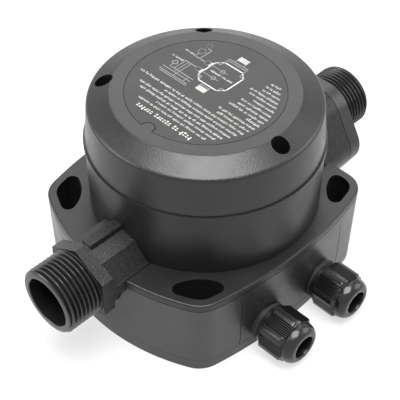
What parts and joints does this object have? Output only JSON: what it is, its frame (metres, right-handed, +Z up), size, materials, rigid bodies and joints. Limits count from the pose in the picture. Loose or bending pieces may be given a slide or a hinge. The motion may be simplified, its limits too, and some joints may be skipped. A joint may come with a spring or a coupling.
{
  "type": "electronic pressure switch",
  "caption": "Electronic pressure switch for a water pump: round lidded pressure housing on a deep rectangular base, threaded pipe ends in line and cable glands on one side.",
  "frame": {"origin": "centre of the base's underside, on the plane that it rests on", "axes": "+X along the pipe from inlet to outlet, +Z up towards the printed lid, cable glands on the -Y side"},
  "size_m": [0.2077, 0.1448, 0.1068],
  "materials": {
    "housing": "satin black, lightly grained",
    "flow_plastic": "satin black glass-filled plastic",
    "gland_plastic": "glossy black",
    "label": "dark grey printed film",
    "rubber_black": "matt",
    "diaphragm_rubber": "matt",
    "screw_steel": "bright zinc",
    "dark_screw_steel": "blackened steel",
    "spring_steel": "bright wire",
    "magnet": "dark ferrite",
    "acetal_white": "satin white",
    "board_green": "green board",
    "relay_blue": "glossy blue",
    "capacitor_yellow": "glossy yellow",
    "transformer": "varnished core",
    "terminal_green": "green block",
    "chip_black": "matt black",
    "varistor_blue": "glossy blue",
    "fuse_glass": "clear"
  },
  "bodies": {
    "housing": {"bottom_cover": "housing", "base_housing": "housing", "upper_housing": "housing", "top_cap": "housing", "label_disc": "label", "base_gasket": "rubber_black", "cap_gasket": "rubber_black", "case_screws": "screw_steel", "cap_screws": "dark_screw_steel", "bell_screws": "screw_steel", "board_screws": "screw_steel", "outlet_screws": "screw_steel", "terminal_screws": "screw_steel", "flow_body": "flow_plastic", "outlet_connector": "flow_plastic", "outlet_seal": "rubber_black", "valve_cage": "acetal_white", "poppet_spring": "spring_steel", "diaphragm": "diaphragm_rubber", "pressure_spring": "spring_steel", "spring_bell": "housing", "sensor_board": "board_green", "hall_sensor": "chip_black", "circuit_board": "board_green", "relay": "relay_blue", "film_capacitor": "capacitor_yellow", "transformer": "transformer", "terminal_block": "terminal_green", "control_chip": "chip_black", "fuse": "fuse_glass", "varistor": "varistor_blue", "reed_switch": "fuse_glass", "left_gland_body": "gland_plastic", "left_gland_nut": "gland_plastic", "left_gland_locknut": "gland_plastic", "left_gland_seal": "rubber_black", "left_gland_washer": "rubber_black", "right_gland_body": "gland_plastic", "right_gland_nut": "gland_plastic", "right_gland_locknut": "gland_plastic", "right_gland_seal": "rubber_black", "right_gland_washer": "rubber_black"},
    "pressure_plate": {"pressure_plate": "acetal_white", "stem_magnet": "magnet"},
    "flow_valve": {"valve_poppet": "acetal_white", "poppet_seal": "rubber_black", "poppet_magnet": "magnet"}
  },
  "joints": [
    {"name": "plate_slide", "type": "slide", "parent": "housing", "child": "pressure_plate", "axis": [0, 0, 1], "range_m": [0, 0.008], "stiffness_N_per_m": 2000, "springref_m": -0.004, "deforming": ["pressure_spring", "diaphragm"]},
    {"name": "valve_slide", "type": "slide", "parent": "housing", "child": "flow_valve", "axis": [1, 0, 0], "range_m": [0, 0.007], "stiffness_N_per_m": 60, "springref_m": -0.004, "deforming": ["poppet_spring"]}
  ]
}
